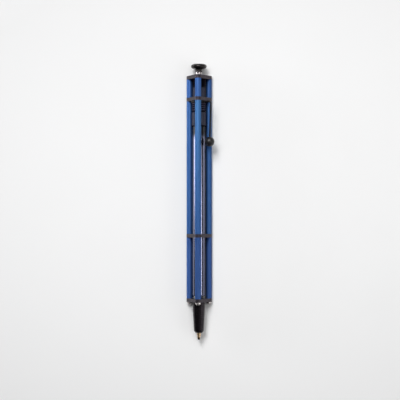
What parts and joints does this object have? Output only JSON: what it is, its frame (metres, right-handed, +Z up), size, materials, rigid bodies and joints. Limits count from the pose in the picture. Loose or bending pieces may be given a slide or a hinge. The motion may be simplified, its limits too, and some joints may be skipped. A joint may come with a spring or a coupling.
{
  "type": "ballpoint pen",
  "caption": "Skeleton click ballpoint pen: slim tubes between triangular plates hold a bare metal refill, a push button, a click mechanism, a tapered nose and a wire clip with a ball.",
  "frame": {"origin": "middle of the flat under the lower plate, on which the pen lies", "axes": "+Y along the pen towards the push button, +Z up from the table through the tube on top, +X to the side of the clip"},
  "size_m": [0.0131, 0.1255, 0.0104],
  "materials": {
    "blue_tube": "blue anodised, satin",
    "dark_plate": "dark grey anodised, satin",
    "steel_rod": "drawn",
    "polished_nut": "polished black nickel",
    "gunmetal": "gunmetal anodised, satin",
    "dark_nut": "black anodised, satin",
    "clip_wire": "black coated steel wire",
    "black_ball": "glossy black",
    "black_nose": "black anodised, satin",
    "spring_steel": "bright drawn wire",
    "black_button": "black anodised, satin",
    "bright_stem": "polished",
    "cam_plastic": "moulded",
    "refill_steel": "bright drawn tube",
    "plug_plastic": "black moulded",
    "tip_brass": "turned",
    "ball_carbide": "ground carbide"
  },
  "bodies": {
    "frame": {"upper_tube_front": "blue_tube", "upper_tube_right": "blue_tube", "upper_tube_left": "blue_tube", "middle_tube_front": "blue_tube", "middle_tube_right": "blue_tube", "middle_tube_left": "blue_tube", "lower_tube_front": "blue_tube", "lower_tube_right": "blue_tube", "lower_tube_left": "blue_tube", "top_plate": "dark_plate", "clip_plate": "dark_plate", "lower_plate": "dark_plate", "nose_plate": "dark_plate", "tie_rods": "steel_rod", "cap_nuts": "polished_nut", "mechanism_housing": "gunmetal", "retaining_nut": "dark_nut", "clip_ring": "clip_wire", "nose_cone": "black_nose", "return_spring": "spring_steel"},
    "button": {"push_button": "black_button", "plunger": "bright_stem", "drive_crown": "cam_plastic"},
    "refill": {"refill_barrel": "refill_steel", "refill_plug": "plug_plastic", "refill_tip": "tip_brass", "writing_ball": "ball_carbide"},
    "rotor": {"cam_rotor": "cam_plastic"},
    "clip": {"clip_arm": "clip_wire", "clip_ball": "black_ball"}
  },
  "joints": [
    {"name": "button_press", "type": "slide", "parent": "frame", "child": "button", "axis": [0, 1, 0], "range_m": [-0.001, 0.004], "stiffness_N_per_m": 150},
    {"name": "refill_slide", "type": "slide", "parent": "frame", "child": "refill", "axis": [0, 1, 0], "range_m": [-0.001, 0.004], "deforming": ["return_spring"]},
    {"name": "cam_turn", "type": "hinge", "parent": "refill", "child": "rotor", "pos_m": [0, 0.0546, 0.00394], "axis": [0, 1, 0], "range_deg": [-15.5, 60.5]},
    {"name": "clip_flex", "type": "hinge", "parent": "frame", "child": "clip", "pos_m": [0.00339, 0.06088, 0.00589], "axis": [-0.5, 0, 0.866], "range_deg": [0, 6], "stiffness_Nm_per_rad": 0.2}
  ],
  "couplings": [
    {"joint": "refill_slide", "follows": "button_press", "ratio": 1},
    {"joint": "cam_turn", "follows": "button_press", "rad_per_m": 261.8}
  ]
}
